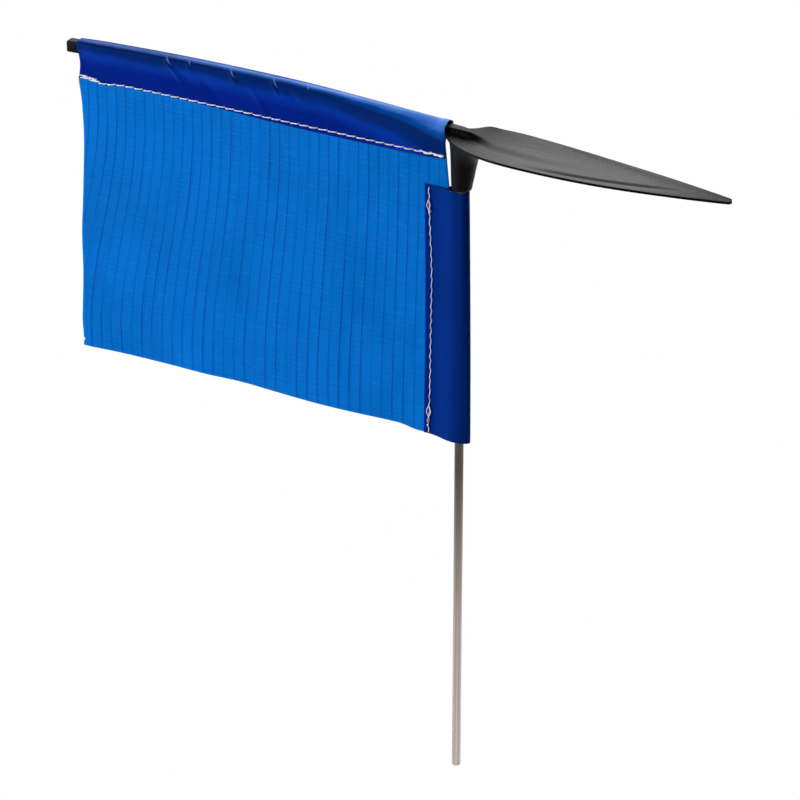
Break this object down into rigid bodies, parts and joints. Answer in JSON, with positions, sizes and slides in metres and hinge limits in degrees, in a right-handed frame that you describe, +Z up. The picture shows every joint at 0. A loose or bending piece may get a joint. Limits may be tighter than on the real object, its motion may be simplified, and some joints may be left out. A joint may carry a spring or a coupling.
{
  "type": "masthead burgee",
  "caption": "Swivelling masthead wind vane: a small two-tone cloth flag hung from a moulded arrow that turns on a thin stainless rod.",
  "frame": {"origin": "centre of the rod's flat foot", "axes": "+Z up along the rod, which is the swivel axis; +X from the tail towards the arrow's nose; +Y completes the frame, across the blade"},
  "size_m": [0.2351, 0.0226, 0.2451],
  "materials": {
    "stainless": "drawn bright stainless rod with fine lengthwise lines",
    "spring_steel": "plain spring steel",
    "acetal": "smooth grey acetal",
    "black_plastic": "satin moulded plastic with a fine spark texture",
    "ripstop": "light blue coated ripstop cloth with a darker grid thread",
    "coated_cloth": "dark blue glossy coated cloth",
    "thread": "white twisted polyester thread"
  },
  "bodies": {
    "rod": {"pivot_rod": "stainless", "retaining_clip": "spring_steel"},
    "vane": {"arrow_moulding": "black_plastic", "pivot_bush": "acetal", "thrust_cup": "acetal", "flag_panel": "ripstop", "head_sleeve": "coated_cloth", "luff_sleeve": "coated_cloth", "head_needle_thread": "thread", "head_bobbin_thread": "thread", "luff_needle_thread": "thread", "luff_bobbin_thread": "thread"}
  },
  "joints": [
    {"name": "vane_swivel", "type": "hinge", "parent": "rod", "child": "vane", "pos_m": [0, 0, 0.2359], "axis": [0, 0, 1], "continuous": true}
  ]
}
